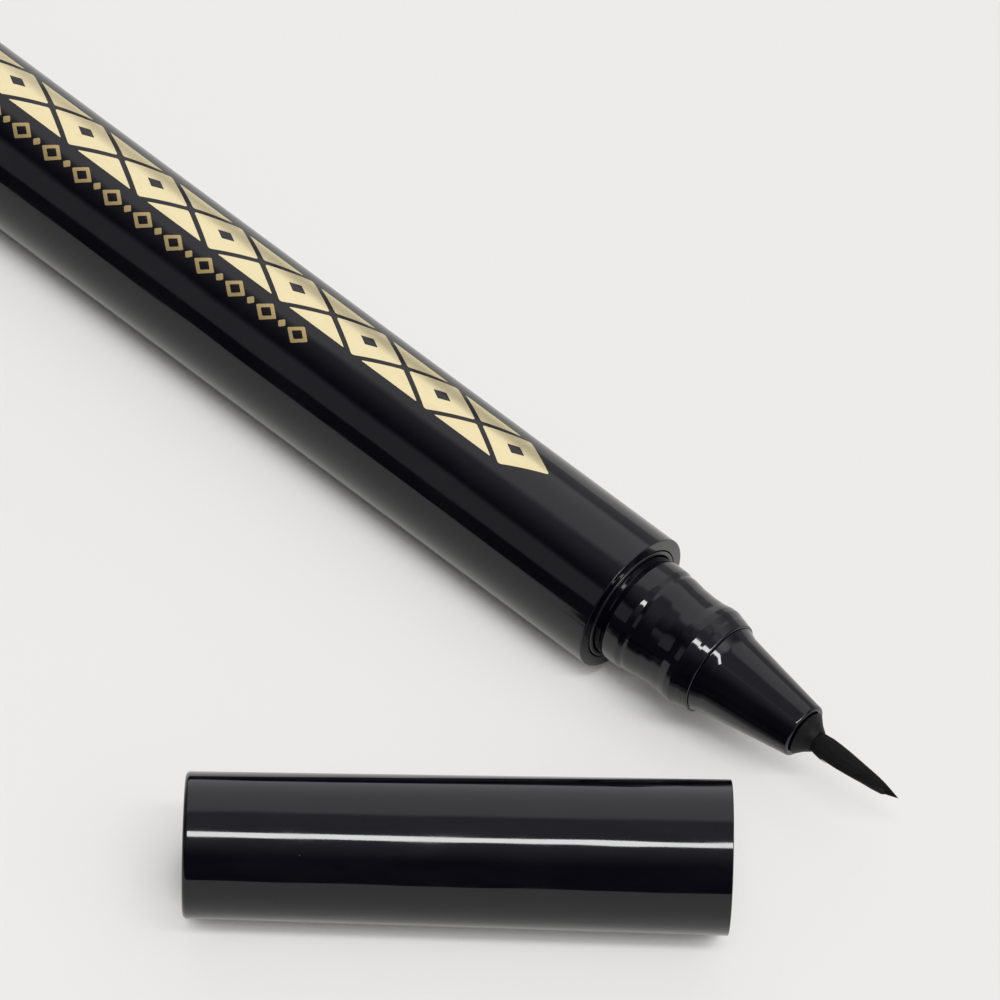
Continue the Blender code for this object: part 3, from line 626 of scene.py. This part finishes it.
def makeSpring():
    start, end, wireRadius = (springSetting[key] for key in ("start", "end", "wireRadius"))
    bpy.ops.object.select_all(action="DESELECT")
    sides, upright = springSetting["wireSides"], (math.pi / 2, 0, 0)
    bpy.ops.mesh.primitive_circle_add(vertices=sides, radius=wireRadius * mm, rotation=upright)
    spring = bpy.context.object
    spring.location = Vector((springSetting["radius"], 0, start)) * mm
    applyPlace(spring)
    bpy.ops.object.modifier_add(type="SCREW")
    winding = spring.modifiers[-1]
    winding.iterations = springSetting["turns"]
    winding.screw_offset = (end - start) / springSetting["turns"] * mm
    winding.steps = winding.render_steps = springSetting["turnSteps"]
    bpy.ops.object.modifier_apply(modifier=winding.name)
    bpy.ops.object.mode_set(mode="EDIT")
    bpy.ops.mesh.select_all(action="SELECT")
    bpy.ops.mesh.fill_holes(sides=0)
    bpy.ops.mesh.select_all(action="SELECT")
    bpy.ops.mesh.normals_make_consistent(inside=False)
    bpy.ops.object.mode_set(mode="OBJECT")
    spring.matrix_world = capFrame
    applyPlace(spring)
    bpy.ops.object.shade_smooth_by_angle(angle=math.radians(springSetting["smoothAngle"]))
    finishPiece(spring, "capSpringWire", "steelCap", "cap", "cap_spring")
    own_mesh(spring)


makeSpring()
print("spring wound")

# Brush: a straight bundle of fine bristles, which a lattice then swells a little and closes to a point
brushSetting = {
    "bristles": 900,
    "foot": 16.45,                # mm from the rim
    "tip": 24.1,
    "thin": 0.024,                # radius of a bristle, mm
    "sides": 5,
    "pointing": (1, 1, 1, 1, 1, 0.97, 0.93, 0.82, 0.45),  # how each section of it narrows
    "bundle": [                   # place along the pen and the bundle's radius there, mm
        (16.45, 0.66), (16.98, 0.69), (17.3, 0.76), (17.8, 0.80), (18.4, 0.79), (19.2, 0.75), (20.35, 0.645),
        (21.2, 0.56), (22.1, 0.46), (22.9, 0.32), (23.85, 0.06), (24.1, 0.008),
    ],
    "widest": 0.80,
    "lean": (-0.09, 0.15),        # of the tip, mm
    "shortest": 0.62,             # length of the outermost bristles, against the longest
    "shortening": (1.5, 1.6),     # how steeply that sets in outwards, and how rare it is
    "uneven": 0.03,               # share of a length
    "splay": 0.0016,              # lean of each bristle, radians
    "strays": 9,                  # short bristles that stand off the lower side
    "strayTurns": (-75, -5),      # degrees
    "strayLengths": (0.9, 1.9),   # mm
    "strayLeans": (0.02, 0.05),   # radians
    "strayRing": 1.01,            # against the bundle's widest radius
    "seed": 11,
    "latticeRows": 31,
    "latticeWidth": 2.4,          # against the bundle's widest radius
    "smoothAngle": 75,            # degrees
    "coreShare": 0.9,             # of the bundle's radius
    "coreFoot": (0.59, 16.5),     # radius and place, mm
    "coreTip": 23.3,
    "coreRounding": 0.4,
    "coreSteps": (40, 3),         # round the core, and in each arc of its outline
}


def oneBristle():  # 1 mm long
    bpy.ops.object.select_all(action="DESELECT")
    sides, radius = brushSetting["sides"], brushSetting["thin"] * mm
    bpy.ops.mesh.primitive_circle_add(vertices=sides, radius=radius, fill_type="NGON")
    bristle = bpy.context.object
    bpy.ops.object.mode_set(mode="EDIT")
    bpy.ops.mesh.select_all(action="SELECT")
    rise = {"value": (0, 0, mm / len(brushSetting["pointing"]))}
    before = 1
    for size in brushSetting["pointing"]:
        bpy.ops.mesh.extrude_region_move(TRANSFORM_OT_translate=rise)
        bpy.ops.transform.resize(value=(size / before, size / before, 1))
        before = size
    bpy.ops.mesh.select_all(action="SELECT")
    bpy.ops.mesh.normals_make_consistent(inside=False)
    bpy.ops.object.mode_set(mode="OBJECT")
    return bristle


def bundleRadius(z):
    shape = brushSetting["bundle"]
    for (start, low), (end, high) in zip(shape, shape[1:]):
        if z <= end:
            return low + (high - low) * (z - start) / (end - start)
    return shape[-1][1]


# Each bristle's foot, lean and length
def bristlePlaces():
    chance = random.Random(brushSetting["seed"])
    length = brushSetting["tip"] - brushSetting["foot"]
    outwards, rare = brushSetting["shortening"]
    places = []
    for k in range(brushSetting["bristles"]):
        far = math.sqrt((k + 0.5) / brushSetting["bristles"])
        turn = k * math.pi * (3 - math.sqrt(5))  # golden angle, which spreads them evenly
        short = (1 - brushSetting["shortest"]) * far ** outwards * chance.random() ** rare
        share = 1 - short - brushSetting["uneven"] * chance.random()
        lean = chance.uniform(-brushSetting["splay"], brushSetting["splay"])
        places.append((far * brushSetting["widest"], turn, lean, length * share))
    for k in range(brushSetting["strays"]):
        turn = math.radians(chance.uniform(*brushSetting["strayTurns"]))
        run = chance.uniform(*brushSetting["strayLengths"])
        lean = chance.uniform(*brushSetting["strayLeans"])
        places.append((brushSetting["widest"] * brushSetting["strayRing"], turn, lean, run))
    return places


def shapeLattice():
    rows = brushSetting["latticeRows"]
    foot, length = brushSetting["foot"], brushSetting["tip"] - brushSetting["foot"]
    wide = brushSetting["latticeWidth"] * brushSetting["widest"]
    bpy.ops.object.select_all(action="DESELECT")
    bpy.ops.object.add(type="LATTICE", location=(0, 0, (foot + length / 2) * mm))
    cage = bpy.context.object
    cage.data.points_u, cage.data.points_v, cage.data.points_w = 2, 2, rows
    cage.data.interpolation_type_u = cage.data.interpolation_type_v = "KEY_LINEAR"
    cage.data.interpolation_type_w = "KEY_CATMULL_ROM"
    low = min(point.co.z for point in cage.data.points)
    high = max(point.co.z for point in cage.data.points)
    side = 2 * max(point.co.x for point in cage.data.points)
    cage.scale = (wide * mm / side, wide * mm / side, length * mm / (high - low))
    for point in cage.data.points:
        share = (point.co.z - low) / (high - low)
        size = bundleRadius(foot + length * share) / brushSetting["widest"]
        lean = Vector(brushSetting["lean"]) * share * share / wide * side
        point.co_deform = (point.co.x * size + lean.x, point.co.y * size + lean.y, point.co.z)
    return cage


def makeBrush():
    bristle = oneBristle()
    copies = []
    for far, turn, lean, length in bristlePlaces():
        copy = bpy.data.objects.new("bristle", bristle.data.copy())
        bpy.context.scene.collection.objects.link(copy)
        foot = Matrix.Translation(Vector((far, 0, brushSetting["foot"])) * mm)
        grow = Matrix.Diagonal((1, 1, length, 1))
        copy.matrix_world = Matrix.Rotation(turn, 4, "Z") @ foot @ Matrix.Rotation(lean, 4, "Y") @ grow
        copies.append(copy)
    pickOnly(bristle)
    bpy.ops.object.delete()
    pickOnly(*copies)
    bpy.ops.object.join()
    brush = bpy.context.object
    applyPlace(brush)
    cage = shapeLattice()
    pickOnly(brush)
    bpy.ops.object.modifier_add(type="LATTICE")
    brush.modifiers[-1].object = cage
    bpy.ops.object.modifier_apply(modifier=brush.modifiers[-1].name)
    pickOnly(cage)
    bpy.ops.object.delete()
    brush.matrix_world = penFrame
    applyPlace(brush)
    bpy.ops.object.shade_smooth_by_angle(angle=math.radians(brushSetting["smoothAngle"]))
    return brush


brush = makeBrush()
finishPiece(brush, "brushBristles", "bristle", "pen", "brush_tip")


# A close core fills the middle of the bundle
def coreCorners():
    radius, foot = brushSetting["coreFoot"]
    corners = [(0, foot, 0), (radius, foot, 0)]
    for z, radius in brushSetting["bundle"][1:-2]:
        corners.append((brushSetting["coreShare"] * radius, z, brushSetting["coreRounding"]))
    return corners + [(0, brushSetting["coreTip"], 0)]


core = turnPiece(coreCorners(), False, penFrame, *brushSetting["coreSteps"])
finishPiece(core, "bristleCore", "bristle", "pen")
print("brush made,", len(brush.data.polygons), "faces")

# Foil stamped on the barrel: a frieze of windowed lozenges with triangles between, and a fine row below.
# Sizes are mm along the pen and round it. Angles are degrees round the barrel from its top, minus away from
# the camera.
foilLayout = {
    "thickness": 0.012,
    "above": 0.3,        # where a motif starts before it is pressed down
    "cornerSteps": 3,
    "cuts": 4,           # finer faces, so that a motif follows the barrel
    "hair": 0.001,       # first step of a window's inset, before it is drawn smaller
    "smoothAngle": 30,   # degrees
    "frieze": {"middle": -15.0, "start": -9.0, "end": -77.5, "step": 6.9},
    "lozenge": {"sides": 4, "size": (6.25, 3.6), "rounding": 0.2, "window": 0.26},
    "triangle": {"sides": 3, "size": (5.3, 1.5), "rounding": 0.14},
    "triangleOff": 1.3,  # middle of a triangle from the frieze's middle
    "fineRow": {"middle": 17.5, "start": -30.0, "end": -77.0, "step": 3.0},
    "bead": {"sides": 4, "size": (1.95, 1.55), "rounding": 0.1, "window": 0.55},
    "pip": {"sides": 4, "size": (0.72, 0.72), "rounding": 0.1},
}


# A flat motif at the origin, x along the pen and y round it. A window is the outline drawn smaller.
def flatMotif(sides, size, rounding, window=0.0, flip=False):
    bpy.ops.object.select_all(action="DESELECT")
    bpy.ops.mesh.primitive_circle_add(vertices=sides, radius=mm, fill_type="NGON")
    piece = bpy.context.object
    flat = piece.dimensions
    bpy.ops.object.mode_set(mode="EDIT")
    bpy.ops.mesh.select_all(action="SELECT")
    bpy.ops.transform.resize(value=(size[0] * mm / flat.x, size[1] * mm / flat.y, 1))
    if flip:
        bpy.ops.transform.rotate(value=math.pi, orient_axis="Z", center_override=(0, 0, 0))
    bpy.ops.mesh.bevel(affect="VERTICES", offset=rounding * mm, segments=foilLayout["cornerSteps"])
    bpy.ops.mesh.select_all(action="SELECT")
    if window:
        bpy.ops.mesh.inset(thickness=foilLayout["hair"] * mm, depth=0)
        bpy.ops.transform.resize(value=(window, window, 1))
        bpy.ops.mesh.delete(type="FACE")
        bpy.ops.mesh.select_all(action="SELECT")
    else:
        bpy.ops.mesh.poke()
    bpy.ops.mesh.subdivide(number_cuts=foilLayout["cuts"])
    bpy.ops.object.mode_set(mode="OBJECT")
    return piece


# Where a motif lies before it is pressed down on the barrel
def onBarrel(z, degrees, aside=0.0):
    radius = lying["penRadii"][0] + foilLayout["above"]
    turn = math.radians(180 + degrees) - aside / radius
    out = Vector((math.cos(turn), math.sin(turn), 0))
    axes = Matrix((Vector((0, 0, 1)), Vector((out.y, -out.x, 0)), out)).transposed().to_4x4()
    return penFrame @ Matrix.Translation((out * radius + Vector((0, 0, z))) * mm) @ axes


# Pressed straight down, along the motif's own Z
def press(piece):
    pickOnly(piece)
    bpy.ops.object.modifier_add(type="SHRINKWRAP")
    pressing = piece.modifiers[-1]
    pressing.target = bpy.data.objects["barrelTube"]
    pressing.wrap_method = "PROJECT"
    pressing.use_project_z = True
    pressing.use_negative_direction = True
    pressing.wrap_mode = "ABOVE_SURFACE"
    pressing.offset = foilLayout["thickness"] * mm
    bpy.ops.object.modifier_apply(modifier=pressing.name)


def layFoil(name, finish, marks):
    pieces = []
    for shape, spot in marks:
        piece = flatMotif(**shape)
        piece.matrix_world = spot
        press(piece)
        pieces.append(piece)
    pickOnly(*pieces)
    bpy.ops.object.join()
    row = bpy.context.object
    applyPlace(row)
    bpy.ops.object.modifier_add(type="SOLIDIFY")
    row.modifiers[-1].thickness = foilLayout["thickness"] * mm
    bpy.ops.object.modifier_apply(modifier=row.modifiers[-1].name)
    bpy.ops.object.shade_smooth_by_angle(angle=math.radians(foilLayout["smoothAngle"]))
    finishPiece(row, name, finish, "pen")
    print(name, len(row.data.polygons), "faces")


def rowPlaces(kind):
    z = foilLayout[kind]["start"]
    while z > foilLayout[kind]["end"]:
        yield z
        z -= foilLayout[kind]["step"]


frieze, fineRow = [], []
degrees = foilLayout["frieze"]["middle"]
step = foilLayout["frieze"]["step"]
middles = [z - foilLayout["lozenge"]["size"][0] / 2 for z in rowPlaces("frieze")]
for k, z in enumerate(middles):
    frieze.append((foilLayout["lozenge"], onBarrel(z, degrees)))
    if k:
        for side in (1, -1):
            shape = {**foilLayout["triangle"], "flip": side > 0}
            frieze.append((shape, onBarrel(z + step / 2, degrees, side * foilLayout["triangleOff"])))
degrees = foilLayout["fineRow"]["middle"]
for z in rowPlaces("fineRow"):
    fineRow.append((foilLayout["bead"], onBarrel(z, degrees)))
    fineRow.append((foilLayout["pip"], onBarrel(z - foilLayout["fineRow"]["step"] / 2, degrees)))
layFoil("foilFrieze", "friezeFoil", frieze)
layFoil("foilFineRow", "fineFoil", fineRow)
print("foil laid")

# Table. Where it lies open, it is lifted to a pale level as it is seen, straight or mirrored, which thins its
# shadows as in the photo. Diffuse light doesn't meet the lift.
tableSetting = {
    "size": 3.2,                    # m
    "sides": 96,
    "roughness": 0.75,
    "specular": 0.2,
    "cloudNoise": (60.0, 4.0, 0.6),  # clouds per m
    "colour": (0.79, 0.795, 0.765, 1),
    "fleck": (0.765, 0.77, 0.74, 1),
    # colour of the painted glow
    "seen": (0.843, 0.828, 0.808, 1),
    "lift": 0.65,
    "liftFor": ("Is Camera Ray", "Is Glossy Ray", "Is Transmission Ray"),
    "liftReach": 14.0,              # mm round the object that stay darker
    "liftSide": (0.15, -0.42, 0.895),  # the side that counts as open, towards the lamp, so the painted glow stays weak where the object blocks it
    "liftOpen": (0.375, 0.67),      # how open a place is where the lift starts, and where it is full
    "liftSamples": 8,
}

bpy.ops.object.select_all(action="DESELECT")
sides, radius = tableSetting["sides"], tableSetting["size"] / 2
bpy.ops.mesh.primitive_circle_add(vertices=sides, radius=radius, fill_type="NGON")
table = bpy.context.object
table.name = "paleTable"
tablePaint = newPaint("tablePaper")
spread = tablePaint.node("ShaderNodeTexCoord", {}, {}, "Object")
cloud = tablePaint.noise(spread, *tableSetting["cloudNoise"])
tablePaint.coat({
    "Specular IOR Level": tableSetting["specular"],
    "Roughness": tableSetting["roughness"],
    "Base Color": tablePaint.mix(cloud, tableSetting["colour"], tableSetting["fleck"]),
})
seen = sum(tablePaint.node("ShaderNodeLightPath", {}, {}, kind) for kind in tableSetting["liftFor"])
side = tablePaint.node("ShaderNodeCombineXYZ", {}, dict(enumerate(tableSetting["liftSide"])))
reach = {"Distance": tableSetting["liftReach"] * mm, "Normal": side}
samples = {"samples": tableSetting["liftSamples"]}
openness = tablePaint.node("ShaderNodeAmbientOcclusion", samples, reach, "AO")
openShare = tablePaint.step(openness, *tableSetting["liftOpen"])
# The glow is painted light: an emission that brightens the open table, and its shadows, where it is seen
glowing = tablePaint.node("ShaderNodeEmission", {}, {"Color": tableSetting["seen"]})
paper = Signal(tablePaint, tablePaint.tree.nodes["Principled BSDF"].outputs["BSDF"])
share = seen * openShare * tableSetting["lift"]
surface = tablePaint.node("ShaderNodeMixShader", {}, {0: share, 1: paper, 2: glowing})
tablePaint.plug(tablePaint.tree.nodes["Material Output"].inputs["Surface"], surface)
table.data.materials.append(tablePaint.owner)
print("table laid")

# Light: a ceiling glow, a pale panel behind, a dim card at the left, soft windows at the right and one long
# narrow lamp. A patch is laid over those before it. It rises and falls softly along the directions named,
# between the two values given, -1 opposite a direction and 1 in it.
skySetting = {
    "tint": (0.995, 0.98, 1.01, 1),
    "dark": 0.035,
    "directions": {
        "high": (0, 0, 1),
        "right": (1, 0, 0),
        "far": (0, 1, 0),
        "behind": (0, 0.922, -0.387),
        "aside": (0.342, -0.94, 0),
    },
    "patches": {
        "glow": {
            "level": 0.42,
            "rises": [("far", -0.85, -0.35), ("right", -0.64, -0.18), ("high", 0.3, 0.7)],
            "falls": [],
        },
        "back": {"level": 0.25, "rises": [("behind", -0.12, 0.02)], "falls": []},
        "panel": {
            "level": 1.13,
            "rises": [("behind", -0.12, 0.02), ("right", -0.45, -0.25)],
            "falls": [("right", 0.5, 0.7)],
        },
        "corner": {
            "level": 0.42,
            "rises": [("behind", -0.12, 0.02), ("right", 0.17, 0.25)],
            "falls": [("high", 0.30, 0.45)],
        },
        "leftCard": {
            "level": 0.40,
            "rises": [("high", 0.33, 0.38), ("aside", -0.22, -0.17)],
            "falls": [("high", 0.68, 0.78), ("right", -0.60, -0.45), ("aside", 0.12, 0.17)],
        },
    },
    # direction, degrees to the edge, degrees to the full part, level
    "windows": [((0.56, -0.12, 0.82), 27, 12, 1.45), ((0.60, -0.55, 0.58), 30, 14, 0.85)],
    "windowStart": (0.2, 0.4),  # towards the right
}
lampSetting = {"at": (0.44, -0.726, 2.2), "size": (1.72, 0.30), "radiance": 20.0}

world = bpy.data.worlds.new("softStudio")
bpy.context.scene.world = world
sky = Paint(world)
ray = sky.node("ShaderNodeTexCoord", {}, {}, "Generated")


def facing(direction):
    values = {0: ray, 1: Vector(direction).normalized()}
    return sky.node("ShaderNodeVectorMath", {"operation": "DOT_PRODUCT"}, values, "Value")


# One level of light laid over another
def over(below, share, value):
    return share * value + (1 - share) * below


# How fully a patch covers each direction
def patchShare(patch):
    share = 1
    for name, low, high in patch["rises"]:
        share = share * sky.step(towards[name], low, high)
    for name, low, high in patch["falls"]:
        share = share * (1 - sky.step(towards[name], low, high))
    return share


towards = {name: facing(direction) for name, direction in skySetting["directions"].items()}
level = skySetting["dark"]
for patch in skySetting["patches"].values():
    level = over(level, patchShare(patch), patch["level"])
start = sky.step(towards["right"], *skySetting["windowStart"])
for direction, edge, full, strength in skySetting["windows"]:
    window = sky.step(facing(direction), math.cos(math.radians(edge)), math.cos(math.radians(full)))
    level = level + window * start * strength
background = world.node_tree.nodes["Background"]
sky.plug(background.inputs["Color"], skySetting["tint"])
sky.plug(background.inputs["Strength"], level)

bpy.ops.object.light_add(type="AREA", location=lampSetting["at"])
lamp = bpy.context.object
lamp.name = "narrowLamp"
lamp.data.shape = "RECTANGLE"
lamp.data.size, lamp.data.size_y = lampSetting["size"]
lamp.data.energy = lampSetting["radiance"] * math.pi * lampSetting["size"][0] * lampSetting["size"][1]

bpy.context.scene.view_settings.view_transform = "Standard"
print("light set")
